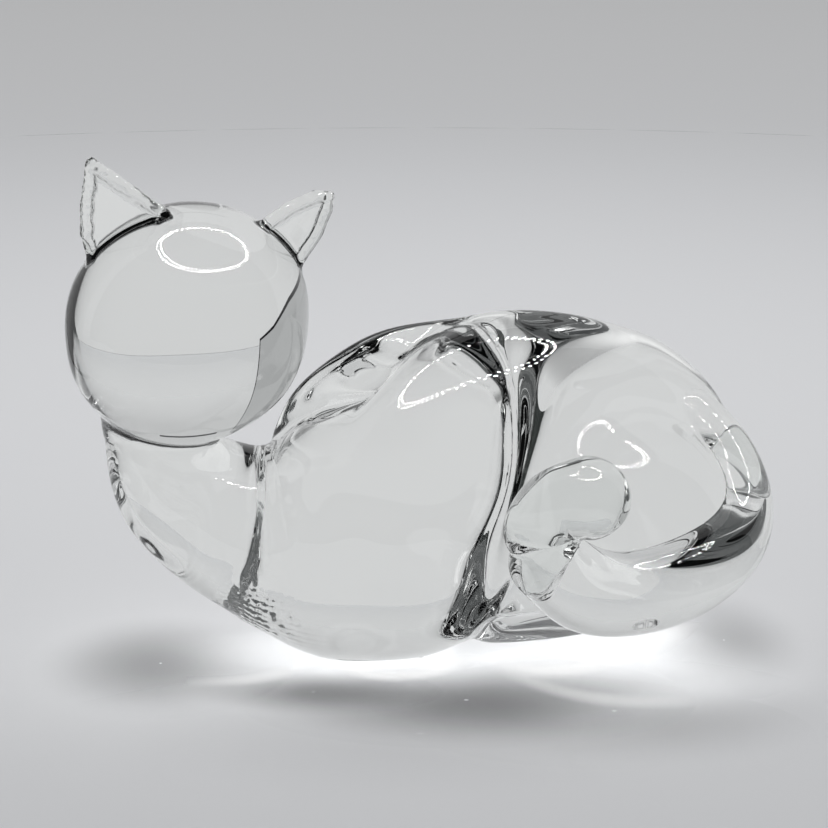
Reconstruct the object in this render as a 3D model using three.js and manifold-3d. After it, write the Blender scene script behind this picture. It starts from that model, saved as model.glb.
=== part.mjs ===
// A reclining cat of solid clear glass, about 190 mm long, lying on the flats under its chest and hip.
// It is an assembly of hot-worked masses: a ball head with two pinched ears on a short neck, a broad
// body creased into a torso and a haunch, and a tail laid round the haunch that ends in a curled tip.
// Units are millimetres, +Z is up, +X runs from the head to the tail and -Y is the side the tail lies on.
import * as THREE from "three";
import { mergeVertices } from "three/addons/utils/BufferGeometryUtils.js";
import Module from "manifold-3d";

const wasm = await Module();
wasm.setup();

// Driving dimensions.
const JOINT_GAP = 0.3; // left between neighbours where the real masses are fused
const RINGS = 20; // rings of faces from pole to pole of a rounded mass
const SECTORS = 32; // faces round a rounded mass
const LIMB_SIDES = 20; // faces round a limb

// The head, a ball a little longer on one slant. Slants, here and below, are degrees from +X up
// towards +Z.
const HEAD = { centre: [-61.8, 0, 89.9], half: [33.6, 32, 31.7], slant: 45 };

// The masses that make up the body: the broad barrel of the torso, turned so that its far end swings
// to the back, the ridge of the spine behind it, the chest and the thigh. A mass can be fuller below
// than above: its outline is then a superellipse whose power grows from 2, a plain ellipse, to
// fullness underneath.
const BODY = [
  { centre: [34.3, 3.7, 44.5], half: [61.2, 25, 46.2], slant: -2.7, yaw: 28.4, roll: -13.8 },
  { centre: [18, 13, 50], half: [58, 14, 40.4] },
  { centre: [-12, -1, 33], half: [37, 30, 35], fullness: 2.6 },
  { centre: [51, -5, 36], half: [36, 28, 31] },
];

// The crease between torso and haunch, as [x, z] from below the belly to above the back. It is a
// groove along the back flank, which fades out towards the ridge.
const CREASE = [
  [12, -8],
  [13, 8],
  [16, 25],
  [20, 42],
  [22, 56],
  [20, 70],
  [14, 84],
  [8, 104],
];
const CREASE_STEPS = 14;
const CREASE_DEPTH = 6;
const CREASE_RADIUS = 5.5;
const CREASE_FADE = [50, 88]; // heights where the groove starts to fade and where it ends

// Limbs, as [x, y, z, radius] along their middles.
const DIMPLE = [
  [-46, 22.5, 27, 5.5],
  [-46, 22, 39, 5.5],
  [-46, 17, 51, 5.5],
]; // the tool that pressed a short hollow behind the join of neck and torso
const NECK = [
  [-73, 0, 62, 12.8],
  [-67, 0, 48, 17],
  [-53, 0, 36.8, 21],
  [-38, 0, 29, 23.5],
];
const TAIL = [
  [75, 12, 62, 6.8],
  [84.3, 0, 50, 7.8],
  [85.2, -14, 39.2, 9],
  [76.3, -26, 31.8, 10.2],
  [64, -34, 27.5, 10.7],
  [51, -38, 26.7, 11.2],
  [41, -40.5, 29.9, 11.3],
  [33.5, -41.5, 36.5, 10.4],
];
const TAIL_TIP = [
  [30, -42, 45.8, 8.6],
  [34, -45, 52.5, 9.2],
  [42.5, -47, 55.3, 10.9],
];

// The ears, flat sheets with rounded rims. Corners are [across, up] in each ear's own plane, from
// the point where its foot meets the ball: inner foot, tip, outer edge, outer foot and middle foot.
// They bound the flat of the sheet, and the rounded rim runs outside them.
const EAR_SHEET = 1.6; // half the thickness of the sheet
const EAR_ROUND = 1.3; // rounding of the rim
const LEFT_EAR = {
  foot: [-76.5, -7, 112],
  turn: 0,
  lean: 15,
  corners: [
    [10, 10],
    [-8.6, 25.2],
    [-10.8, 12],
    [-11, 4],
    [-9.4, -3.8],
    [2, -1.5],
  ],
};
const RIGHT_EAR = {
  foot: [-37.5, 2, 111.5],
  turn: 24,
  lean: 12,
  corners: [
    [-5.4, 5.2],
    [3, 10.4],
    [14.2, 13.2],
    [11.4, 1.5],
    [5.4, -7.2],
    [-4, -3],
  ],
};
const EAR_CORNER = 2.6; // how far from a corner its rounding starts

const GLASS = { color: 0xe6ece9, roughness: 0.02, metalness: 0 };

// A closed geometry as a solid that can be cut and joined.
function solidOf(geometry) {
  geometry.deleteAttribute("normal");
  geometry.deleteAttribute("uv");
  const merged = mergeVertices(geometry, 1e-3);
  return new wasm.Manifold(
    new wasm.Mesh({
      numProp: 3,
      vertProperties: merged.attributes.position.array,
      triVerts: new Uint32Array(merged.index.array),
    }),
  );
}

function geometryOf(solid) {
  const mesh = solid.getMesh();
  return new THREE.BufferGeometry()
    .setAttribute("position", new THREE.BufferAttribute(mesh.vertProperties, 3))
    .setIndex(new THREE.BufferAttribute(mesh.triVerts, 1));
}

// The turn of a mass, in radians.
function turnOf({ slant = 0, yaw = 0, roll = 0 }) {
  const [x, y, z] = [roll, -slant, yaw].map(THREE.MathUtils.degToRad);
  return new THREE.Matrix4().makeRotationFromEuler(new THREE.Euler(x, y, z, "ZYX"));
}

// A rounded mass. grow makes it larger all over, to cut a neighbour clear of it.
function mass(shape, grow = 0) {
  const { centre, half, fullness = 2 } = shape;
  const geometry = new THREE.SphereGeometry(1, SECTORS, RINGS);
  const position = geometry.getAttribute("position");
  for (let i = 0; i < position.count; i++) {
    const [x, y, z] = [position.getX(i), position.getY(i), position.getZ(i)];
    const power = 2 + (fullness - 2) * THREE.MathUtils.smoothstep(-z, 0, 1);
    const sum = Math.abs(x) ** power + Math.abs(y) ** power + Math.abs(z) ** power;
    const size = sum ** (1 / power);
    position.setXYZ(i, x / size, y / size, z / size);
  }
  geometry.scale(half[0] + grow, half[1] + grow, half[2] + grow);
  geometry.applyMatrix4(turnOf(shape));
  geometry.translate(...centre);
  return solidOf(geometry);
}

// A limb with round ends: a capsule bent along a smooth curve, with the radius given at each point.
function limb(points, steps, grow = 0) {
  const curve = new THREE.CatmullRomCurve3(
    points.map((p) => new THREE.Vector3(p[0], p[1], p[2])),
    false,
    "centripetal",
  );
  const radii = new THREE.SplineCurve(
    points.map((p, i) => new THREE.Vector2(i, p[3])),
  );
  const frames = curve.computeFrenetFrames(steps, false);
  const capsule = new THREE.CapsuleGeometry(1, steps, 6, LIMB_SIDES, steps);
  const position = capsule.getAttribute("position");
  const vertex = new THREE.Vector3();
  for (let i = 0; i < position.count; i++) {
    vertex.fromBufferAttribute(position, i);
    const along = vertex.y + steps / 2;
    const step = Math.round(THREE.MathUtils.clamp(along, 0, steps));
    const radius = radii.getPoint(step / steps).y + grow;
    const middle = curve
      .getPoint(step / steps)
      .addScaledVector(frames.tangents[step], (along - step) * radius);
    const side = frames.normals[step].clone().multiplyScalar(vertex.x * radius);
    const up = frames.binormals[step].clone().multiplyScalar(-vertex.z * radius);
    middle.add(side).add(up);
    position.setXYZ(i, middle.x, middle.y, middle.z);
  }
  return solidOf(capsule);
}

// An upright slab: an [x, z] outline carried through the whole depth.
function slab(outline) {
  const depth = 160;
  const shape = new THREE.Shape(outline.map((p) => new THREE.Vector2(p[0], p[1])));
  const geometry = new THREE.ExtrudeGeometry(shape, {
    depth,
    bevelEnabled: false,
  });
  geometry.rotateX(Math.PI / 2);
  geometry.translate(0, depth / 2, 0);
  return solidOf(geometry);
}

const creaseLine = new THREE.SplineCurve(
  CREASE.map((p) => new THREE.Vector2(p[0], p[1])),
).getPoints(CREASE_STEPS);

// Everything on one side of the crease: -1 is the torso's side and 1 the haunch's.
function besideCrease(side) {
  const far = side * 140;
  const low = CREASE[0][1];
  const high = CREASE[CREASE.length - 1][1];
  const line = creaseLine.map((p) => [p.x + (side * JOINT_GAP) / 2, p.y]);
  return slab([...line, [far, high], [far, low]]);
}

// How far back a mass reaches at a place, or null where it has nothing.
function backOf(shape, x, z) {
  const inverse = turnOf(shape).transpose();
  const [cx, cy, cz] = shape.centre;
  const half = new THREE.Vector3(...shape.half);
  const from = new THREE.Vector3(x - cx, -cy, z - cz).applyMatrix4(inverse).divide(half);
  const along = new THREE.Vector3(0, 1, 0).applyMatrix4(inverse).divide(half);
  const [a, b, c] = [along.lengthSq(), from.dot(along), from.lengthSq() - 1];
  const inside = b * b - a * c;
  return inside > 0 ? (Math.sqrt(inside) - b) / a : null;
}

// How far back the whole body reaches at a place.
function backAt(x, z) {
  const reaches = BODY.map((shape) => backOf(shape, x, z));
  return Math.max(...reaches.filter((y) => y !== null));
}

// The groove pressed into the back flank along the crease.
function creaseGroove() {
  const points = creaseLine
    .filter((p) => p.y > 3 && p.y < CREASE_FADE[1])
    .map((p) => {
      const depth = CREASE_DEPTH * (1 - THREE.MathUtils.smoothstep(p.y, ...CREASE_FADE));
      return [p.x, backAt(p.x, p.y) + CREASE_RADIUS - depth, p.y, CREASE_RADIUS];
    });
  return limb(points, 20);
}

// The whole body, before the crease parts it.
function body(grow = 0) {
  return BODY.map((shape) => mass(shape, grow)).reduce((a, b) => a.add(b));
}

// A pinched ear in its own plane, stood on the ball.
function ear({ foot, turn, lean, corners }) {
  const shape = new THREE.Shape();
  const points = corners.map((c) => new THREE.Vector2(c[0], c[1]));
  const towards = (from, to) => {
    const step = to.clone().sub(from).setLength(EAR_CORNER);
    return from.clone().add(step);
  };
  points.forEach((corner, i) => {
    const before = points[(i + points.length - 1) % points.length];
    const after = points[(i + 1) % points.length];
    const start = towards(corner, before);
    const end = towards(corner, after);
    if (i === 0) shape.moveTo(start.x, start.y);
    else shape.lineTo(start.x, start.y);
    shape.quadraticCurveTo(corner.x, corner.y, end.x, end.y);
  });
  const geometry = new THREE.ExtrudeGeometry(shape, {
    depth: 2 * (EAR_SHEET - EAR_ROUND),
    bevelEnabled: true,
    bevelThickness: EAR_ROUND,
    bevelSize: EAR_ROUND,
    bevelSegments: 3,
    curveSegments: 4,
  });
  geometry.translate(0, 0, EAR_ROUND - EAR_SHEET);
  geometry.rotateX(Math.PI / 2);
  geometry.rotateX(-THREE.MathUtils.degToRad(lean));
  geometry.rotateZ(THREE.MathUtils.degToRad(turn));
  geometry.translate(...foot);
  return solidOf(geometry);
}

const ground = slab([
  [-200, 0],
  [200, 0],
  [200, 200],
  [-200, 200],
]);
const head = mass(HEAD);
const headClear = mass(HEAD, JOINT_GAP);
const bodyClear = body(JOINT_GAP);
const hollow = limb(DIMPLE, 8);
const creased = body().subtract(creaseGroove()).subtract(hollow).intersect(ground);

const solids = {
  head,
  ear_left: ear(LEFT_EAR).subtract(headClear),
  ear_right: ear(RIGHT_EAR).subtract(headClear),
  neck: limb(NECK, 10).intersect(ground).subtract(headClear).subtract(bodyClear).subtract(hollow),
  torso: creased.intersect(besideCrease(-1)),
  haunch: creased.intersect(besideCrease(1)),
  tail: limb(TAIL, 24).subtract(bodyClear).subtract(limb(TAIL_TIP, 12, JOINT_GAP)),
  tail_tip: limb(TAIL_TIP, 12).subtract(bodyClear),
};

const cat = new THREE.Group();
for (const [name, solid] of Object.entries(solids)) {
  const mesh = new THREE.Mesh(geometryOf(solid), new THREE.MeshStandardMaterial(GLASS));
  mesh.name = name;
  cat.add(mesh);
}

// The origin is on the ground under the middle of the whole cat.
const box = new THREE.Box3().setFromObject(cat);
const middle = box.getCenter(new THREE.Vector3());
cat.position.set(-middle.x, -middle.y, -box.min.z);

export default cat;
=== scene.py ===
import math

import bpy
import numpy as np
from mathutils import Euler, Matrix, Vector
from mathutils.geometry import tessellate_polygon


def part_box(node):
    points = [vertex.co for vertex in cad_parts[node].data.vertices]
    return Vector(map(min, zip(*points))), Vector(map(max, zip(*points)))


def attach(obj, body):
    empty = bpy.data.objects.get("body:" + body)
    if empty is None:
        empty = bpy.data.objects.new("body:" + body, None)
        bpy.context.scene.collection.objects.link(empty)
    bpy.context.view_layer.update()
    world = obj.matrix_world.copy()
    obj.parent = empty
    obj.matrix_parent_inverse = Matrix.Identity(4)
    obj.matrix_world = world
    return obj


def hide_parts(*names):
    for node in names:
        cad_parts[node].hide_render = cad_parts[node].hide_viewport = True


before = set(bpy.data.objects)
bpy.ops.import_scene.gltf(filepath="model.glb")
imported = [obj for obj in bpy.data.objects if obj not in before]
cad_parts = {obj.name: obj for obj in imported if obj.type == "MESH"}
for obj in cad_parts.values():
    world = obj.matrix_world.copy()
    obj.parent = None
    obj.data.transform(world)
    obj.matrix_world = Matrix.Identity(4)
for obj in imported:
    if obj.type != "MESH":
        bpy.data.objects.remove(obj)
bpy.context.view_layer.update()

# ---------------------------------------------------------------- sizes, in millimetres
HEAD_CENTRE = np.array([-61.8, 0.0, 89.9])
HEAD = {"centre": HEAD_CENTRE, "half": (33.6, 32.0, 31.7), "slant": 45}
TORSO = {"centre": (34.3, 3.7, 44.5), "half": (61.2, 25.0, 46.2), "slant": -2.7, "yaw": 28.4, "roll": -13.8}
SPINE = {"centre": (18.0, 13.0, 50.0), "half": (58.0, 14.0, 40.4)}
CHEST = {"centre": (-12.0, -1.0, 33.0), "half": (37.0, 30.0, 35.0), "fullness": 2.6}
THIGH = {"centre": (52.0, -5.0, 33.0), "half": (36.0, 27.0, 32.0), "fullness": 2.1}
NECK = [(-73, 0, 62, 12.8), (-67, 0, 48, 17.0), (-53, 0, 36.8, 21.0), (-38, 0, 29, 23.5)]
TAIL = [
    (75, 12, 62, 6.8), (84.3, 0, 50, 7.8), (85.2, -14, 39.2, 9.0), (76.3, -26, 31.8, 10.2), (64, -34, 27.5, 10.7),
    (51, -38, 26.7, 11.2), (41, -40.5, 29.9, 11.3), (33.5, -41.5, 36.5, 10.4),
]
TAIL_TIP = [(30, -42, 45.8, 8.6), (34, -45, 52.5, 9.2), (42.5, -47, 55.3, 10.9)]
# The crease is pressed into the back, and shows as a fold low on the near side. Rows are height, x.
CREASE = [(-8, 12), (8, 13), (25, 16), (42, 20), (56, 22), (70, 20), (84, 14), (104, 8)]
CREASE_DEPTH = 7.0
CREASE_WIDTH = 4.4
FOLD = [(-8, 12), (2, 13.5), (8, 16), (18, 21), (32, 27), (42, 26), (50, 25), (60, 29), (68, 36), (78, 50)]
FOLD_DEPTH, FOLD_WIDTH = 1.4, 3.0
# Under the tail the body is undercut by a plane: the way it faces, and how far along that way it lies.
TUCK_WAY = np.array([0.2685, -0.646, -0.7145])
TUCK_REACH = 8.6
# Where the neck leaves the body, a dimple behind and a hammered patch in front, each at one x.
DIMPLE_DEPTH, DIMPLE_X, DIMPLE_WIDTH = 3.8, -46, 6
HAMMERED_X, HAMMERED_Z, HAMMERED_SIZE = -44, 15, (11, 8)
LEFT_EAR = {
    "foot": (-76.5, -7, 112), "turn": 0, "lean": 15, "rough": 0.28,
    "corners": [(10.0, 10.0), (-8.4, 24.6), (-10.6, 12), (-11.0, 4), (-9.4, -3.8), (2, -1.5)],
}
RIGHT_EAR = {
    "foot": (-37.5, 2, 111.5), "turn": 24, "lean": 12, "rough": 0.14,
    "corners": [(-5.4, 5.0), (2.5, 10.2), (9.6, 12.8), (13.6, 12.2), (13.4, 8.4), (11, 1.5), (5.4, -7.2), (-4, -3)],
}
PANE_HALF, RIM_HALF, RIM_WIDTH, EAR_ROUND = 1.1, 1.0, 1.15, 1.0
# How widely neighbouring masses of glass run together.
MELT_BODY, MELT_TUCK, MELT_NECK, MELT_EAR, MELT_HEAD, MELT_TAIL, MELT_REST = 12, 1.5, 9, 2.8, 5, 1.0, 1.2
# Steps of the meshing grid, which is finer along the tall ears, the neck's dimple and the middle.
COARSE, FINE = 1.6, 0.8
FAR = 20.0  # the distance given to points well away from a limb or an ear

low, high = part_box("head")
ORIGIN = (np.array(low) + np.array(high)) * 500 - HEAD_CENTRE


# ---------------------------------------------------------------- the surface as a function
def melt(a, b, width):
    """The smaller of two distances, run together where they are within width of each other."""
    h = np.maximum(width - np.abs(a - b), 0) / width
    return np.minimum(a, b) - h**3 * width / 6


def egg(p, centre, half, slant=0, yaw=0, roll=0, fullness=2.0):
    """Distance to an ellipsoid, turned by degrees about Y, Z and X. Its under side may be fuller than an ellipse."""
    q = p - np.array(centre)
    if slant or yaw or roll:
        turn = Euler([math.radians(a) for a in (roll, -slant, yaw)], "XYZ").to_matrix()
        q = q @ np.array(turn)
    power = 2 + (fullness - 2) * ramp(-q[:, 2] / half[2], 0.0, 0.6)
    power = power[:, None]
    u = np.abs(q) / np.array(half)
    size = np.maximum((u**power).sum(1, keepdims=True), 1e-12) ** (1 / power)
    slope = (u / size) ** (power - 1) / np.array(half)
    return ((size[:, 0] - 1) / np.linalg.norm(slope, axis=1)).clip(-60, 400)


def ramp(x, low, high):
    t = np.clip((x - low) / (high - low), 0, 1)
    return t * t * t * (10 - 15 * t + 6 * t * t)


class Curve:
    """A natural cubic through rows of numbers, by the chord between their first columns."""

    def __init__(self, rows, knots=None):
        self.rows = np.array(rows, float)
        if knots is None:
            knots = np.concatenate([[0], np.cumsum(np.linalg.norm(np.diff(self.rows[:, :3], axis=0), axis=1))])
        self.knots = np.array(knots, float)
        n, h = len(self.knots), np.diff(self.knots)
        a, b = np.eye(n), np.zeros_like(self.rows)
        for i in range(1, n - 1):
            a[i, i - 1 : i + 2] = h[i - 1], 2 * (h[i - 1] + h[i]), h[i]
            b[i] = 6 * ((self.rows[i + 1] - self.rows[i]) / h[i] - (self.rows[i] - self.rows[i - 1]) / h[i - 1])
        self.bend = np.linalg.solve(a, b)

    def at(self, t):
        """The value, slope and bend at each t."""
        i = np.clip(np.searchsorted(self.knots, t) - 1, 0, len(self.knots) - 2)
        h = (self.knots[i + 1] - self.knots[i])[:, None]
        v = (t - self.knots[i])[:, None]
        u = h - v
        r0, r1, m0, m1 = self.rows[i], self.rows[i + 1], self.bend[i], self.bend[i + 1]
        value = (m0 * u**3 + m1 * v**3) / (6 * h) + (r0 / h - m0 * h / 6) * u + (r1 / h - m1 * h / 6) * v
        slope = (m1 * v**2 - m0 * u**2) / (2 * h) + (r1 - r0) / h - (m1 - m0) * h / 6
        return value, slope, (m0 * u + m1 * v) / h


class Limb(Curve):
    """A round rod of changing radius, bent along a curve, with ball ends. Rows are x, y, z, radius."""

    def __init__(self, rows):
        super().__init__(rows)
        self.samples = np.linspace(0, self.knots[-1], 48)
        self.line = self.at(self.samples)[0]
        reach = FAR + 6
        self.low = self.line[:, :3].min(0) - reach
        self.high = self.line[:, :3].max(0) + reach

    def distance(self, p):
        out = np.full(len(p), FAR)
        near = np.flatnonzero(((p > self.low) & (p < self.high)).all(1))
        for block in np.array_split(near, max(1, len(near) // 60000)):
            if len(block):
                out[block] = self.exact(p[block])
        return out

    def exact(self, p):
        power = (self.line[:, :3] ** 2).sum(1) - self.line[:, 3] ** 2 - 2 * p @ self.line[:, :3].T
        t = self.samples[np.argmin(power, axis=1)]
        for _ in range(4):
            value, slope, bend = self.at(t)
            away = value[:, :3] - p
            steep = (slope[:, :3] ** 2).sum(1)
            rate = steep + (away * bend[:, :3]).sum(1)
            t = np.clip(t - (away * slope[:, :3]).sum(1) / np.maximum(rate, 0.3 * steep), 0, self.knots[-1])
        value = self.at(t)[0]
        return np.linalg.norm(value[:, :3] - p, axis=1) - value[:, 3]


def outline_distance(u, v, corners):
    """Signed distance in the plane to a polygon, negative inside."""
    best = np.full(len(u), 1e9)
    inside = np.zeros(len(u), bool)
    for (ax, ay), (bx, by) in zip(corners, corners[1:] + corners[:1]):
        ex, ey, wx, wy = bx - ax, by - ay, u - ax, v - ay
        t = np.clip((wx * ex + wy * ey) / (ex * ex + ey * ey), 0, 1)
        best = np.minimum(best, (wx - ex * t) ** 2 + (wy - ey * t) ** 2)
        crosses = ((ay > v) != (by > v)) & (u < (bx - ax) * (v - ay) / ((by - ay) or 1e-9) + ax)
        inside ^= crosses
    return np.where(inside, -1, 1) * np.sqrt(best)


def ear(p, foot, turn, lean, rough, corners):
    """Distance to a pinched ear: a thin pane of glass inside a thick uneven rim."""
    out = np.full(len(p), FAR)
    near = np.flatnonzero((np.abs(p - np.array(foot) - (0, 0, 8)) < (30, 14, 30)).all(1))
    q = p[near] - np.array(foot)
    c, s = math.cos(math.radians(turn)), math.sin(math.radians(turn))
    x, y = q[:, 0] * c + q[:, 1] * s, q[:, 1] * c - q[:, 0] * s
    c, s = math.cos(math.radians(lean)), math.sin(math.radians(lean))
    u, n, v = x, y * c + q[:, 2] * s, q[:, 2] * c - y * s
    edge = outline_distance(u, v, corners)
    lump = 0.30 * np.sin(1.15 * u + 0.9 * v + 1) + 0.24 * np.sin(1.9 * u - 1.3 * v + 2) + 0.16 * np.sin(2.7 * v + u)
    edge = edge + rough * lump
    half = PANE_HALF + (RIM_HALF + 0.9 * rough * lump) * np.exp(-(((edge + 0.5) / RIM_WIDTH) ** 2))
    a, b = edge - 1.3 + EAR_ROUND, np.abs(n) - half + EAR_ROUND
    out[near] = np.minimum(np.maximum(a, b), 0) + np.hypot(np.maximum(a, 0), np.maximum(b, 0)) - EAR_ROUND
    return out


neck, tail, tail_tip = Limb(NECK), Limb(TAIL), Limb(TAIL_TIP)
crease = Curve([(x, 0, 0) for _, x in CREASE], [z for z, _ in CREASE])
fold = Curve([(x, 0, 0) for _, x in FOLD], [z for z, _ in FOLD])
rng = np.random.default_rng(7)
WAVES = [
    (rng.normal(size=3), rng.uniform(0, 2 * math.pi), length, height)
    for length, height in [(44, 0.20), (36, 0.16), (30, 0.12), (25, 0.08), (21, 0.06)]
    for _ in range(2)
]
LUMPS = [(rng.normal(size=3) * 1.5, rng.uniform(0, 2 * math.pi)) for _ in range(9)]


def waviness(p):
    """The slow unevenness of glass shaped by hand."""
    total = np.zeros(len(p))
    for way, phase, length, height in WAVES:
        total += height * np.sin(p @ (way / np.linalg.norm(way)) * (2 * math.pi / length) + phase)
    return total


def hammered(p):
    """A small lumpy texture, as left by a cold tool."""
    total = np.zeros(len(p))
    for way, phase in LUMPS:
        total += 0.09 * np.sin(p @ way + phase)
    return total


def head_of(p):
    return egg(p, **HEAD)


def beside(line, p):
    """How far right of a line on the body each point is."""
    return p[:, 0] - line.at(np.clip(p[:, 2], line.knots[0], line.knots[-1]))[0][:, 0]


def beside_crease(p):
    return beside(crease, p)


def body_of(p):
    """The masses of the body, with the crease behind, the fold in front and the undercut below the tail."""
    upper = melt(egg(p, **TORSO), egg(p, **SPINE), MELT_BODY)
    lower = melt(egg(p, **CHEST), egg(p, **THIGH), MELT_BODY)
    body = melt(upper, lower, MELT_BODY)
    top = ramp(p[:, 2], 50, 84)
    start = -6 + 14 * top
    behind = ramp(p[:, 1], start, start + 14)
    under = (1 - behind) * (1 - ramp(p[:, 2], 2, 14))
    width = CREASE_WIDTH * (1 + 1.9 * top)
    across = np.sqrt(beside_crease(p) ** 2 + 1.0) - 1.0
    depth = (CREASE_DEPTH + 3 * top) * behind + 4.0 * under
    body = body + depth * np.exp(-across / width)
    right = beside(fold, p)
    front = 1 - ramp(p[:, 1], -22, -6)
    body = body + front * FOLD_DEPTH * (1 - ramp(p[:, 2], 24, 40)) * np.exp(-((right / FOLD_WIDTH) ** 2))
    tuck = p @ TUCK_WAY - TUCK_REACH - 8 * (1 - ramp(right, -9, 1)) - 12 * ramp(p[:, 2], 12, 27)
    return -melt(-body, -tuck, MELT_TUCK)


def parts_of(p):
    return {
        "head": head_of(p),
        "ear_left": ear(p, **LEFT_EAR),
        "ear_right": ear(p, **RIGHT_EAR),
        "neck": neck.distance(p),
        "body": body_of(p),
        "tail": tail.distance(p),
        "tail_tip": tail_tip.distance(p),
    }


def surface(p):
    """The whole cat: negative inside the glass, positive outside."""
    d = parts_of(p)
    ears = melt(d["ear_left"], d["ear_right"], 1)
    wave = waviness(p)
    top = melt(d["head"] + wave, ears, MELT_EAR)
    low = melt(d["neck"], d["body"], MELT_NECK)
    x, y, z = p.T
    dimple = np.exp(-(((x - DIMPLE_X) / DIMPLE_WIDTH) ** 2)) * ramp(y, 2, 12) * ramp(z, 11, 24) * (1 - ramp(z, 47, 58))
    wide, tall = HAMMERED_SIZE
    patch = np.exp(-(((x - HAMMERED_X) / wide) ** 2) - ((z - HAMMERED_Z) / tall) ** 2) * (1 - ramp(y, -22, -8))
    low = low + DIMPLE_DEPTH * dimple
    low = low + hammered(p) * patch
    low = melt(low, melt(d["tail"], d["tail_tip"], MELT_TAIL), MELT_TAIL)
    both = melt(top, low + wave, MELT_HEAD)
    return -melt(-both, p[:, 2], MELT_REST)


def level(p, function, step=0.03):
    """A function's value and gradient at each point, from the corners of a small tetrahedron round it."""
    ways = np.array([(1, 1, 1), (1, -1, -1), (-1, 1, -1), (-1, -1, 1)])
    values = np.stack([function(p + way * step) for way in ways])
    return values.mean(0), np.einsum("in,ij->nj", values, ways) / (4 * step)


def settle(p, rounds=3):
    """Moves points onto the surface."""
    for _ in range(rounds):
        value, slope = level(p, surface)
        move = slope * (value / np.maximum((slope**2).sum(1), 0.05))[:, None]
        size = np.linalg.norm(move, axis=1, keepdims=True)
        p = p - move * np.minimum(1, 0.8 / np.maximum(size, 1e-9))
    return p


# ---------------------------------------------------------------- meshing
def ticks(low, high, fine_low, fine_high):
    """Grid planes from low to high, closer together between fine_low and fine_high."""
    out = [low]
    while out[-1] < high:
        out.append(out[-1] + (FINE if fine_low <= out[-1] < fine_high else COARSE))
    return np.array(out)


def net(xs, ys, zs):
    """The zero level as a mesh of quads: one vertex in each cell that it crosses."""
    shape = (len(xs), len(ys), len(zs))
    grid = np.stack(np.meshgrid(xs, ys, zs, indexing="ij"), axis=-1).reshape(-1, 3)
    values = np.concatenate([surface(block) for block in np.array_split(grid, 12)]).reshape(shape)
    grid = grid.reshape(shape + (3,))
    inside = values < 0
    offsets = [(i, j, k) for i in (0, 1) for j in (0, 1) for k in (0, 1)]

    def corner(array, offset):
        i, j, k = offset
        return array[i : shape[0] - 1 + i, j : shape[1] - 1 + j, k : shape[2] - 1 + k]

    count = sum(corner(inside, o).astype(int) for o in offsets)
    cells = np.argwhere((count > 0) & (count < 8))
    number = np.full([n - 1 for n in shape], -1)
    number[tuple(cells.T)] = np.arange(len(cells))
    total, hits = np.zeros((len(cells), 3)), np.zeros(len(cells))
    for a in offsets:
        for axis in range(3):
            if a[axis]:
                continue
            b = tuple(1 if i == axis else v for i, v in enumerate(a))
            ia, ib = tuple((cells + a).T), tuple((cells + b).T)
            va, vb = values[ia], values[ib]
            cross = (va < 0) != (vb < 0)
            t = np.where(cross, va / np.where(cross, va - vb, 1), 0)[:, None]
            total += np.where(cross[:, None], grid[ia] * (1 - t) + grid[ib] * t, 0)
            hits += cross
    points = total / hits[:, None]
    quads = []
    for axis in range(3):
        b, c = (axis + 1) % 3, (axis + 2) % 3
        first = [slice(None)] * 3
        second = [slice(None)] * 3
        first[axis], second[axis] = slice(0, -1), slice(1, None)
        start, end = inside[tuple(first)], inside[tuple(second)]
        for way in (True, False):
            at = np.argwhere((start != end) & (start == way))
            ring = []
            for db, dc in ((0, 0), (1, 0), (1, 1), (0, 1)):
                cell = at.copy()
                cell[:, b] -= db
                cell[:, c] -= dc
                ring.append(number[tuple(cell.T)])
            ring = np.stack(ring, axis=1)
            quads.append(ring if way else ring[:, ::-1])
    return points, np.concatenate(quads)


def subdivide(points, quads):
    """Each quad made into four."""
    edges = np.sort(np.stack([quads, np.roll(quads, -1, axis=1)], axis=2).reshape(-1, 2), axis=1)
    unique, back = np.unique(edges, axis=0, return_inverse=True)
    back = back.reshape(-1, 4)
    middles = points[unique].mean(1)
    centres = points[quads].mean(1)
    m = len(points) + back
    c = (len(points) + len(unique) + np.arange(len(quads)))[:, None]
    made = [np.stack([quads[:, i], m[:, i], c[:, 0], m[:, i - 1]], axis=1) for i in range(4)]
    return np.concatenate([points, middles, centres]), np.concatenate(made)


points, quads = net(
    ticks(-99.0, 101.0, -44, -20),
    ticks(-60.0, 44.0, -11, 14),
    ticks(-3.0, 142.0, 103, 140),
)
points = settle(points, 2)
points, quads = subdivide(points, quads)
points = settle(points, 3)


# ---------------------------------------------------------------- parting the surface into pieces
def on_seam(p, function):
    """Moves points along the surface onto the line where function is zero."""
    for _ in range(3):
        p = settle(p, 1)
        across = level(p, surface)[1]
        across /= np.linalg.norm(across, axis=1, keepdims=True)
        value, slope = level(p, function)
        slope -= across * (slope * across).sum(1)[:, None]
        move = slope * (value / np.maximum((slope**2).sum(1), 0.05))[:, None]
        size = np.linalg.norm(move, axis=1, keepdims=True)
        p = p - move * np.minimum(1, 0.4 / np.maximum(size, 1e-9))
    return settle(p, 1)


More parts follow.
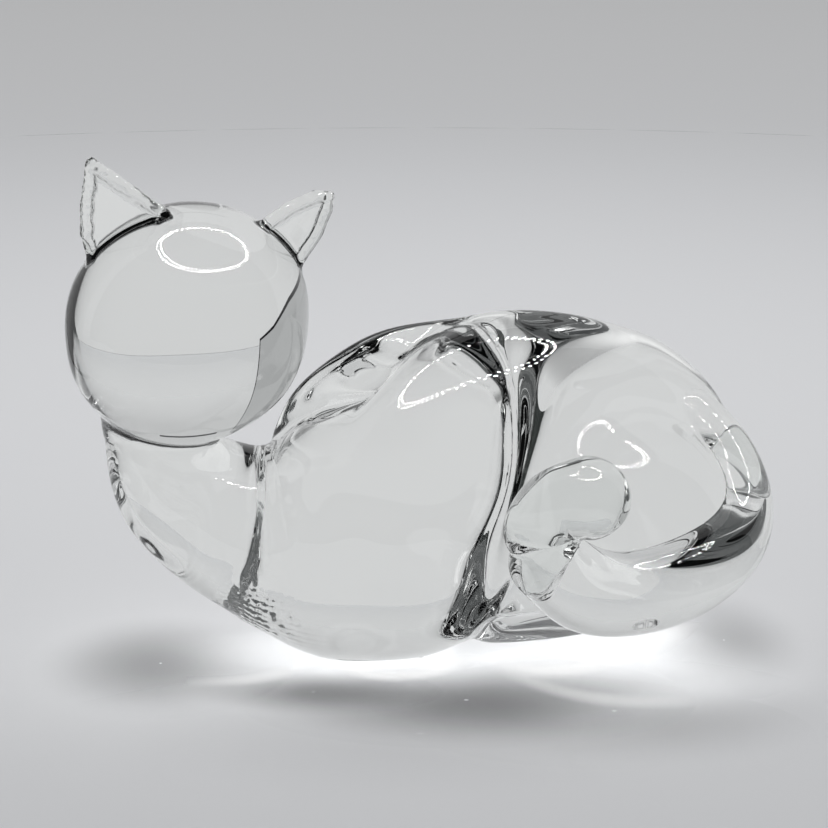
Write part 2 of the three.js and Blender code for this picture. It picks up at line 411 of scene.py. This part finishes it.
def part(points, faces, labels, source, function, negative):
    """Splits the faces labelled source where function changes sign. Its negative side is labelled negative."""
    mine = labels == source
    used = np.unique(faces[mine])
    g = np.full(len(points), np.nan)
    g[used] = function(points[used])
    close = used[np.abs(g[used]) < 0.2]
    points = points.copy()
    points[close] = on_seam(points[close], function)
    g[close] = 0
    edges = np.unique(np.sort(np.concatenate([faces[mine][:, [i, (i + 1) % 3]] for i in range(3)]), axis=1), axis=0)
    edges = edges[g[edges[:, 0]] * g[edges[:, 1]] < 0]
    ga, gb = g[edges[:, 0]], g[edges[:, 1]]
    t = (ga / (ga - gb))[:, None]
    made = on_seam(points[edges[:, 0]] * (1 - t) + points[edges[:, 1]] * t, function)
    new = {tuple(e): len(points) + i for i, e in enumerate(edges.tolist())}
    points = np.concatenate([points, made])
    g = np.concatenate([g, np.zeros(len(made))])
    split_vertices = np.zeros(len(points), bool)
    split_vertices[edges.ravel()] = True
    touched = split_vertices[faces].sum(1) >= 2
    out, out_labels = [faces[~touched]], [labels[~touched]]
    extra, extra_labels = [], []
    for face, label in zip(faces[touched].tolist(), labels[touched].tolist()):
        cuts = [new.get(tuple(sorted((face[i], face[(i + 1) % 3])))) for i in range(3)]
        count = sum(c is not None for c in cuts)
        if count == 0:
            parts = [face]
        elif count == 1:
            i = next(k for k in range(3) if cuts[k] is not None)
            a, b, c = face[i], face[(i + 1) % 3], face[(i + 2) % 3]
            parts = [[a, cuts[i], c], [cuts[i], b, c]]
        elif count == 2:
            i = next(k for k in range(3) if cuts[k] is None)
            a, b, c = face[i], face[(i + 1) % 3], face[(i + 2) % 3]
            bc, ca = cuts[(i + 1) % 3], cuts[(i + 2) % 3]
            parts = [[a, b, bc], [a, bc, ca], [ca, bc, c]]
        else:
            a, b, c = face
            parts = [[a, cuts[0], cuts[2]], [cuts[0], b, cuts[1]], [cuts[2], cuts[1], c], cuts]
        extra += parts
        extra_labels += [label] * len(parts)
    if extra:
        out.append(np.array(extra))
        out_labels.append(np.array(extra_labels))
    faces, labels = np.concatenate(out), np.concatenate(out_labels)
    mine = labels == source
    side = np.nansum(g[faces], axis=1)
    labels = np.where(mine & (side < 0), negative, labels)
    return points, faces, labels


def islands(faces):
    """A number for each face: that of the connected sheet it belongs to."""
    group = np.arange(faces.max() + 1)
    while True:
        least = group[faces].min(1)
        new = group.copy()
        for i in range(3):
            np.minimum.at(new, faces[:, i], least)
        new = new[new]
        if (new == group).all():
            return group[faces[:, 0]]
        group = new


def tidy_labels(faces, labels):
    """Gives each stray patch, cut off from the main part of its piece, to the piece around it."""
    for _ in range(3):
        for label in np.unique(labels):
            mine = np.flatnonzero(labels == label)
            group = islands(faces[mine])
            names, counts = np.unique(group, return_counts=True)
            for name in names[counts < counts.max()]:
                stray = mine[group == name]
                near = np.isin(faces, faces[stray]).any(1)
                near[mine] = False
                if near.any():
                    values, votes = np.unique(labels[near], return_counts=True)
                    labels[stray] = values[votes.argmax()]
    return labels


NAMES = ["haunch", "head", "ear_left", "ear_right", "neck", "torso", "tail", "tail_tip"]
IS_HAUNCH, IS_HEAD, IS_LEFT, IS_RIGHT, IS_NECK, IS_TORSO, IS_TAIL, IS_TIP = range(8)


# What parts each piece from the rest: negative on the side of the named piece.
def off_head(p):
    return head_of(p) - 0.9


def tail_side(p):
    d = parts_of(p)
    return melt(d["tail"], d["tail_tip"], 2) - d["body"]


def tip_side(p):
    return tail_tip.distance(p) - tail.distance(p)


def neck_side(p):
    d = parts_of(p)
    return d["neck"] - d["body"]


faces = np.concatenate([quads[:, [0, 1, 2]], quads[:, [0, 2, 3]]])
labels = np.full(len(faces), IS_HAUNCH)
points, faces, labels = part(points, faces, labels, IS_HAUNCH, off_head, IS_HEAD)
middles = points[faces].mean(1)
ears = (labels == IS_HAUNCH) & (middles[:, 2] > 96)
labels[ears] = np.where(middles[ears, 0] < HEAD_CENTRE[0] + 5, IS_LEFT, IS_RIGHT)
points, faces, labels = part(points, faces, labels, IS_HAUNCH, tail_side, IS_TAIL)
points, faces, labels = part(points, faces, labels, IS_TAIL, tip_side, IS_TIP)
points, faces, labels = part(points, faces, labels, IS_HAUNCH, neck_side, IS_NECK)
points, faces, labels = part(points, faces, labels, IS_HAUNCH, beside_crease, IS_TORSO)
labels = tidy_labels(faces, labels)
normals = level(points, surface)[1]
normals /= np.linalg.norm(normals, axis=1, keepdims=True)


def rims(faces):
    """The open edges of a sheet as closed rings of vertices."""
    pairs = np.concatenate([faces[:, [i, (i + 1) % 3]] for i in range(3)])
    known = {tuple(pair) for pair in pairs.tolist()}
    following = {}
    for a, b in known:
        if (b, a) not in known:
            following.setdefault(a, []).append(b)
    rings = []
    while following:
        start = min(following)
        ring, at = [], start
        while at in following:
            ring.append(at)
            onward = following[at].pop(0)
            if not following[at]:
                del following[at]
            at = onward
        rings.append(ring)
    return rings


def cap(ring):
    """Triangles that close a ring, facing away from the sheet whose rim it is."""
    p = points[ring]
    middle = p.mean(0)
    plane = np.linalg.svd(p - middle, full_matrices=False)[2]
    flat = (p - middle) @ plane[:2].T
    x, y = flat.T
    turn = (x * np.roll(y, -1) - np.roll(x, -1) * y).sum()
    made = []
    for a, b, c in tessellate_polygon([[Vector((u, v, 0)) for u, v in flat]]):
        area = np.cross(flat[b] - flat[a], flat[c] - flat[a])
        made.append([ring[a], ring[b], ring[c]] if area * turn < 0 else [ring[a], ring[c], ring[b]])
    return made


def build_piece(name, faces, materials):
    """A closed piece: its own share of the surface, and flat caps where it joins its neighbours."""
    caps = np.array([t for ring in rims(faces) for t in cap(ring) if len(set(t)) == 3], int).reshape(-1, 3)
    every = np.concatenate([faces, caps])
    used, back = np.unique(every, return_inverse=True)
    back = back.reshape(-1, 3)
    mesh = bpy.data.meshes.new(name)
    mesh.from_pydata(((points[used] + ORIGIN) / 1000).tolist(), [], back.tolist())
    assert len(mesh.polygons) == len(every)
    mesh.polygons.foreach_set("use_smooth", np.ones(len(every), bool))
    mesh.polygons.foreach_set("material_index", np.r_[np.zeros(len(faces), int), np.ones(len(caps), int)])
    for material in materials:
        mesh.materials.append(material)
    corners = normals[used][back]
    flat = np.cross(points[caps[:, 1]] - points[caps[:, 0]], points[caps[:, 2]] - points[caps[:, 0]])
    flat /= np.maximum(np.linalg.norm(flat, axis=1, keepdims=True), 1e-9)
    corners[len(faces) :] = flat[:, None]
    mesh.normals_split_custom_set(corners.reshape(-1, 3).tolist())
    obj = bpy.data.objects.new(name, mesh)
    bpy.context.scene.collection.objects.link(obj)
    return obj


# ---------------------------------------------------------------- materials
def new_material(name):
    material = bpy.data.materials.new(name)
    material.use_nodes = True
    material.node_tree.nodes.clear()
    return material, material.node_tree


def add(tree, kind, **inputs):
    """A shader node with the named inputs set."""
    node = tree.nodes.new(kind)
    for key, value in inputs.items():
        node.inputs[key.replace("_", " ")].default_value = value
    return node


def show(tree, shader):
    """Makes a shader the material's surface."""
    output = add(tree, "ShaderNodeOutputMaterial")
    tree.links.new(shader.outputs[0], output.inputs["Surface"])


def mixed(tree, share, first, second):
    """Two shaders mixed by a socket."""
    mix = add(tree, "ShaderNodeMixShader")
    tree.links.new(share, mix.inputs[0])
    tree.links.new(first.outputs[0], mix.inputs[1])
    tree.links.new(second.outputs[0], mix.inputs[2])
    return mix


def glowing(name, colour, strength):
    """A material that only gives off light."""
    material, tree = new_material(name)
    show(tree, add(tree, "ShaderNodeEmission", Color=(*colour, 1), Strength=strength))
    return material


def matt(name, colour):
    material, tree = new_material(name)
    show(tree, add(tree, "ShaderNodeBsdfDiffuse", Color=(*colour, 1)))
    return material


TINT = (0.978, 0.992, 0.984, 1)  # the faint green of thick glass
glass, tree = new_material("clear_glass")
show(tree, add(tree, "ShaderNodeBsdfPrincipled", Base_Color=TINT, Roughness=0.0, IOR=1.5, Transmission_Weight=1.0))
# Caps lie inside the fused glass, so light passes them unchanged.
joined, tree = new_material("joined_inside")
show(tree, add(tree, "ShaderNodeBsdfTransparent"))

for index, name in enumerate(NAMES):
    obj = build_piece("glass_" + name, faces[labels == index], (glass, joined))
    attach(obj, "root")
    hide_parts(name)
    # The glass casts no shadow of its own: its shadow is painted on the floor further down.
    obj.visible_shadow = False

# ---------------------------------------------------------------- the studio, in metres
FLOOR, FLOOR_FLAT, WALL, WALL_TOP = -0.001, 0.9, 1.35, 2.2
GAP = math.radians(95)  # the far backdrop stops this far to either side of the viewer's back
PAPER, PAPER_PAINTED_LIGHTER, FLOOR_PAINTED_GLOW = 0.74, 0.93, 0.68
# Painted shade: the colour of dark sheets seen only in the glass, and the outlines where they lie.
PAINTED_SHADE_COLOUR = (0.035, 0.04, 0.038)
SHADE_SHEET_RIGHT = [(0.131, -0.232), (0.87, -0.232), (0.87, 0.2), (0.7, 0.55), (0.62, 0.543), (0.131, 0)]
SHADE_SHEET_NEAR = [
    (0.87, -0.232), (-0.87, -0.232), (-0.75, -0.48), (-0.45, -0.76), (0, -0.89), (0.45, -0.76), (0.75, -0.48),
]
LAMP_RADIUS, LAMP_BACK, LAMP_HEIGHT, LAMP_STRENGTH = 0.26, 0.22, 1.0, 9.9
LEDS, LED_HALF, LED_STRENGTH = 60, 0.0032, 80
RING_CENTRE, RING_HEIGHT, RING_WIDE, RING_FAR, RING_CLOSE = (0.0127, -0.0041), 0.42, 0.205, 0.115, 0.165
CARD_GLOW = 0.42
SIDE_CARD = [(-0.222, 0.035), (-0.227, 0.073), (-0.25, 0.204), (-0.318, 0.4), (-0.345, 0.56)]
# Painted shadow where the cat keeps light from the floor, and painted light where it gathers it. Millimetres, in the
# cat's own frame.
PAINTED_SHADOWS = [
    ((-70, -14), (36, 42), 0.58), ((-28, -36), (34, 17), 0.51), ((12, -42), (60, 34), 0.58),
    ((50, -50), (60, 40), 0.33), ((84, 4), (24, 46), 0.38), ((0, -66), (100, 46), 0.08),
]
PAINTED_CAUSTICS = [
    ([(-30, -2, 3), (-23, -13.7, 4.5), (-9, -25, 5), (3, -22, 5), (15, -7, 4)], 0.62),
    ([(17, -10, 4), (31, -20, 8), (46, -16, 8), (61, -2, 8), (74, 20, 6)], 0.8),
    ([(-62, -30, 4), (-45, -28, 5), (-26, -8, 5)], 0.35),
    ([(22, -20, 4), (36, -36, 5), (52, -44, 6), (72, -44, 5)], 0.3),
]


def stage_mesh(name, vertices, faces, material, smooth=True):
    mesh = bpy.data.meshes.new(name)
    mesh.from_pydata(vertices, [], faces)
    mesh.polygons.foreach_set("use_smooth", [smooth] * len(mesh.polygons))
    mesh.materials.append(material)
    obj = bpy.data.objects.new(name, mesh)
    bpy.context.scene.collection.objects.link(obj)
    return obj


def turned(profile, start=0.0, stop=2 * math.pi, steps=96):
    """A surface turned about Z from a profile of (radius, height)."""
    closed = stop - start >= 2 * math.pi
    columns = steps if closed else steps + 1
    vertices, made = [], []
    for i in range(columns):
        a = start + (stop - start) * i / steps
        vertices += [(r * math.sin(a), r * math.cos(a), z) for r, z in profile]
    n = len(profile)
    for i in range(steps):
        for j in range(n - 1):
            a, b = i * n + j, (i + 1) % columns * n + j
            made.append((a, b, b + 1, a + 1))
    return vertices, made


def curve_of(tree, kind, *values, clamp=False):
    """A maths node fed by numbers and sockets."""
    node = tree.nodes.new("ShaderNodeMath")
    node.operation = kind
    node.use_clamp = clamp
    for socket, value in zip(node.inputs, values):
        if isinstance(value, (int, float)):
            socket.default_value = value
        else:
            tree.links.new(value, socket)
    return node.outputs[0]


def paper_of(name, shade, glow_low, glow_high, low, high, with_painted_shade=False):
    """Pale paper that turns from lit to a painted glow away from the middle, standing in for the light on the far
    paper. Its glow changes between two heights.
    """
    material, tree = new_material(name)
    place = add(tree, "ShaderNodeNewGeometry")
    split = add(tree, "ShaderNodeSeparateXYZ")
    tree.links.new(place.outputs["Position"], split.inputs[0])
    x, y = split.outputs["X"], split.outputs["Y"]
    away = curve_of(tree, "SQRT", curve_of(tree, "MULTIPLY_ADD", x, x, curve_of(tree, "MULTIPLY", y, y)))
    share = add(tree, "ShaderNodeMapRange", From_Min=0.7, From_Max=1.33)
    share.interpolation_type = "SMOOTHSTEP"
    tree.links.new(away, share.inputs["Value"])
    lit = add(tree, "ShaderNodeBsdfDiffuse", Color=(shade, shade * 1.007, shade * 1.027, 1))
    # Painted shade: to the right the paper turns dark, as the dark sheets on the floor do.
    if with_painted_shade:
        spread = curve_of(tree, "MULTIPLY", curve_of(tree, "MAXIMUM", y, 0.0), 0.9)
        off_right = curve_of(tree, "MULTIPLY_ADD", curve_of(tree, "SUBTRACT", x, spread), 70.0, -8.7, clamp=True)
        lit = mixed(tree, off_right, lit, add(tree, "ShaderNodeBsdfDiffuse", Color=(*PAINTED_SHADE_COLOUR, 1)))
    fade = add(tree, "ShaderNodeMapRange", From_Min=low, From_Max=high, To_Min=glow_low, To_Max=glow_high)
    tree.links.new(split.outputs["Z"], fade.inputs["Value"])
    painted_glow_node = add(tree, "ShaderNodeEmission", Color=(0.985, 0.99, 1.0, 1))
    tree.links.new(fade.outputs[0], painted_glow_node.inputs["Strength"])
    show(tree, mixed(tree, share.outputs[0], lit, painted_glow_node))
    material.cycles.emission_sampling = "NONE"
    return material


def seen_by(obj, **kinds):
    """Keeps a piece of the studio from all rays but the given kinds: camera, diffuse, glossy, transmission."""
    for kind in ("camera", "diffuse", "glossy", "transmission", "shadow"):
        setattr(obj, "visible_" + kind, kinds.get(kind, False))


# Painted light: paper met through the glass is set a little brighter than paper seen directly, and the floor met there
# is a glowing copy.
pale = paper_of("pale_paper", PAPER, 0.52, 0.43, 0.0, 0.1)
edged = paper_of("paper_and_painted_dark", PAPER_PAINTED_LIGHTER, 0.66, 0.56, 0.3, 0.7, with_painted_shade=True)
through_glass_glow = glowing("paper_painted_glow", (0.99, 0.993, 1.0), FLOOR_PAINTED_GLOW)
through_glass_glow.cycles.emission_sampling = "NONE"
floor_profile = [(0.001, FLOOR)] + [(r, FLOOR) for r in np.linspace(0.1, FLOOR_FLAT, 9)]
seen_by(stage_mesh("floor", *turned(floor_profile), pale), camera=True, diffuse=True, glossy=True)
just_above = [(r, z + 0.00002) for r, z in floor_profile]
seen_by(stage_mesh("floor_through_glass", *turned(just_above), through_glass_glow), transmission=True)

radius = WALL - FLOOR_FLAT
wall_profile = [
    (FLOOR_FLAT + radius * math.sin(a), FLOOR + radius * (1 - math.cos(a))) for a in np.linspace(0, math.pi / 2, 13)
] + [(WALL, z) for z in np.linspace(radius + 0.15, WALL_TOP, 10)]
outer_profile = [(r + 0.01, z) for r, z in wall_profile]
far_side, near_side = (-math.pi + GAP, math.pi - GAP), (math.pi - GAP, math.pi + GAP)
seen_by(stage_mesh("backdrop", *turned(wall_profile, *far_side), pale), camera=True)
outer = stage_mesh("backdrop_through_glass", *turned(outer_profile, *far_side), edged)
seen_by(outer, diffuse=True, glossy=True, transmission=True)
# Painted shade: the near half of the room is dim in the glass, though a camera that turns that way sees the same pale
# paper.
seen_by(stage_mesh("backdrop_near", *turned(wall_profile, *near_side), pale), camera=True)
dim = stage_mesh("dim_room", *turned(outer_profile, *near_side), glowing("dim_room", (0.95, 0.99, 1.0), 0.09))
seen_by(dim, glossy=True, transmission=True)
# Painted shade: beyond the right and near edges of the paper lie dark sheets, seen only in the glass, where the glass
# shows shade.
painted_shade_sheet = matt("painted_shade_sheet", PAINTED_SHADE_COLOUR)
for name, outline in (("right_painted_shade", SHADE_SHEET_RIGHT), ("near_painted_shade", SHADE_SHEET_NEAR)):
    corners = [(x, y, FLOOR + 0.00005) for x, y in outline]
    sheet = stage_mesh(name, corners, [tuple(range(len(corners)))], painted_shade_sheet, smooth=False)
    seen_by(sheet, glossy=True, transmission=True)

# A ring of small lamps, in two rows, is mirrored in the glass as rings of dots.
led_material = glowing("led_dots", (1, 1, 1), LED_STRENGTH)
led_material.cycles.emission_sampling = "NONE"
vertices, dots = [], []
for row, grow in ((0, 1.0), (1, 1.09)):
    for i in range(LEDS):
        a = 2 * math.pi * (i + 0.3 * row) / LEDS
        x = RING_CENTRE[0] + RING_WIDE * grow * math.cos(a)
        y = RING_CENTRE[1] + (RING_FAR if math.sin(a) > 0 else RING_CLOSE) * grow * math.sin(a)
        n = len(vertices)
        for u, v in ((-1, -1), (1, -1), (1, 1), (-1, 1)):
            vertices.append((x + LED_HALF * u, y + LED_HALF * v, RING_HEIGHT))
        dots.append((n + 3, n + 2, n + 1, n))
ring_lamp = stage_mesh("ring_lamp", vertices, dots, led_material, smooth=False)
ring_lamp.visible_diffuse = False
ring_lamp.visible_shadow = False
angles = np.linspace(0, 2 * math.pi, 49)[:-1]
disc = [(LAMP_RADIUS * math.cos(a), LAMP_BACK + LAMP_RADIUS * math.sin(a), LAMP_HEIGHT) for a in angles]
lamp_material = glowing("soft_lamp", (1, 1, 1), LAMP_STRENGTH)
soft_lamp = stage_mesh("soft_lamp", disc, [tuple(range(48))[::-1]], lamp_material, smooth=False)
soft_lamp.visible_glossy = False


def painted(name, vertices, weights, faces, material):
    """A film on the floor for painted shadow and painted light, whose strength is given at each vertex."""
    obj = stage_mesh(name, vertices, faces, material)
    weight = obj.data.attributes.new("weight", "FLOAT", "POINT")
    weight.data.foreach_set("value", weights)
    seen_by(obj, camera=True, glossy=True, transmission=True)


def grid_faces(rows, columns):
    """The quads of a grid of vertices."""
    return [
        (i * columns + j, i * columns + j + 1, (i + 1) * columns + j + 1, (i + 1) * columns + j)
        for i in range(rows - 1)
        for j in range(columns - 1)
    ]


def blob(name, centre, radii, strength, height, material):
    """An oval film of painted shadow that fades out towards its edge."""
    rows, columns = 12, 49
    vertices, weights = [], []
    for r in np.linspace(0.01, 1, rows):
        for a in np.linspace(0, 2 * math.pi, columns):
            x, y = centre[0] + radii[0] * r * math.cos(a), centre[1] + radii[1] * r * math.sin(a)
            vertices.append((x / 1000, y / 1000, height))
            weights.append(strength * (1 - r * r) ** 2)
    painted(name, vertices, weights, grid_faces(rows, columns), material)


def streak(name, line, strength, height, material):
    """A band of painted light along a curve. Rows are x, y, half width, in millimetres."""
    rows, columns = 40, 9
    curve = Curve([(x, y, 0, w) for x, y, w in line])
    t = np.linspace(0, curve.knots[-1], rows)
    value, slope, _ = curve.at(t)
    side = np.stack([-slope[:, 1], slope[:, 0]], axis=1)
    side /= np.linalg.norm(side, axis=1, keepdims=True)
    vertices, weights = [], []
    for i in range(rows):
        along = math.sin(math.pi * i / (rows - 1)) ** 0.7
        for v in np.linspace(-1, 1, columns):
            x, y = value[i, :2] + side[i] * v * value[i, 3]
            vertices.append((x / 1000, y / 1000, height))
            weights.append(strength * along * (1 - v * v) ** 1.5)
    painted(name, vertices, weights, grid_faces(rows, columns), material)


def weight_of(tree):
    weight = add(tree, "ShaderNodeAttribute")
    weight.attribute_name = "weight"
    return weight.outputs["Fac"]


# Painted shadow: a film that darkens the floor beneath it by its weight.
painted_shadow_film, tree = new_material("painted_floor_shadow")
shader = add(tree, "ShaderNodeBsdfTransparent")
tree.links.new(curve_of(tree, "SUBTRACT", 1.0, weight_of(tree)), shader.inputs[0])
show(tree, shader)
# Painted light: a film that glows on the floor by its weight, where the glass would gather light.
painted_light_film, tree = new_material("painted_caustic_light")
clear = add(tree, "ShaderNodeBsdfTransparent")
painted_glow_node = add(tree, "ShaderNodeEmission", Color=(1, 1, 1, 1), Strength=1.0)
show(tree, mixed(tree, weight_of(tree), clear, painted_glow_node))

for i, (where, radii, strength) in enumerate(PAINTED_SHADOWS):
    where = (where[0] + ORIGIN[0], where[1] + ORIGIN[1])
    blob(f"shade_{i}", where, radii, strength, FLOOR + 0.0001 + 0.00005 * i, painted_shadow_film)
for i, (line, strength) in enumerate(PAINTED_CAUSTICS):
    line = [(x + ORIGIN[0], y + ORIGIN[1], w) for x, y, w in line]
    streak(f"painted_caustic_band_{i}", line, strength, FLOOR + 0.0006 + 0.00005 * i, painted_light_film)

dark_flag_and_painted_shadow = matt("dark_flag_and_painted_shadow", (0.02, 0.02, 0.022))
grey_card_painted_glow = glowing("grey_card_painted_glow", (0.98, 0.99, 1.0), CARD_GLOW)


def card(name, line, heights, material):
    """An upright panel that stands along a line on the floor, given as (x, y) in metres."""
    vertices = [(x, y, z) for z in heights for x, y in line]
    panel = stage_mesh(name, vertices, grid_faces(len(heights), len(line)), material)
    seen_by(panel, glossy=True, transmission=True)


# Painted light: a grey card glows for a dimmer wall beside the paper, seen only in the glass; dark strips along its
# foot and far edge are painted shadow lines.
card("side_card", SIDE_CARD, (0.008, 0.2, 0.4, 0.62), grey_card_painted_glow)
card("side_card_foot_shadow", SIDE_CARD, (0.0, 0.008), dark_flag_and_painted_shadow)
card("side_card_edge_shadow", [SIDE_CARD[-1], (-0.346, 0.57)], (0.0, 0.3, 0.62), dark_flag_and_painted_shadow)
high = [(1.3 * math.sin(math.radians(a)), 1.3 * math.cos(math.radians(a))) for a in (-21, -14, -7, 0, 8)]
card("high_flag", high, (0.98, 1.04), dark_flag_and_painted_shadow)

world = bpy.data.worlds.new("room")
world.use_nodes = True
world.node_tree.nodes["Background"].inputs[0].default_value = (0.03, 0.033, 0.035, 1)
bpy.context.scene.world = world

# ---------------------------------------------------------------- camera
DISTANCE, WIDTH = 0.75, 0.2225  # from the middle of the view, and across it
centre = Vector((ORIGIN + np.array([-1.6, 0, 65])) / 1000)
camera = bpy.data.objects.new("camera", bpy.data.cameras.new("camera"))
bpy.context.scene.collection.objects.link(camera)
elevation = math.radians(15)
back = Vector((0, -math.cos(elevation), math.sin(elevation)))
camera.location = centre + back * DISTANCE
camera.rotation_euler = (-back).to_track_quat("-Z", "Y").to_euler()
camera.data.sensor_width = 36
camera.data.lens = 18 / (WIDTH / 2 / DISTANCE)
camera.data.clip_start, camera.data.clip_end = 0.01, 20
bpy.context.scene.camera = camera

scene = bpy.context.scene
scene.view_settings.view_transform = "Standard"
scene.cycles.max_bounces = 24
scene.cycles.transmission_bounces = 24
scene.cycles.transparent_max_bounces = 48
scene.cycles.sample_clamp_indirect = 2.0
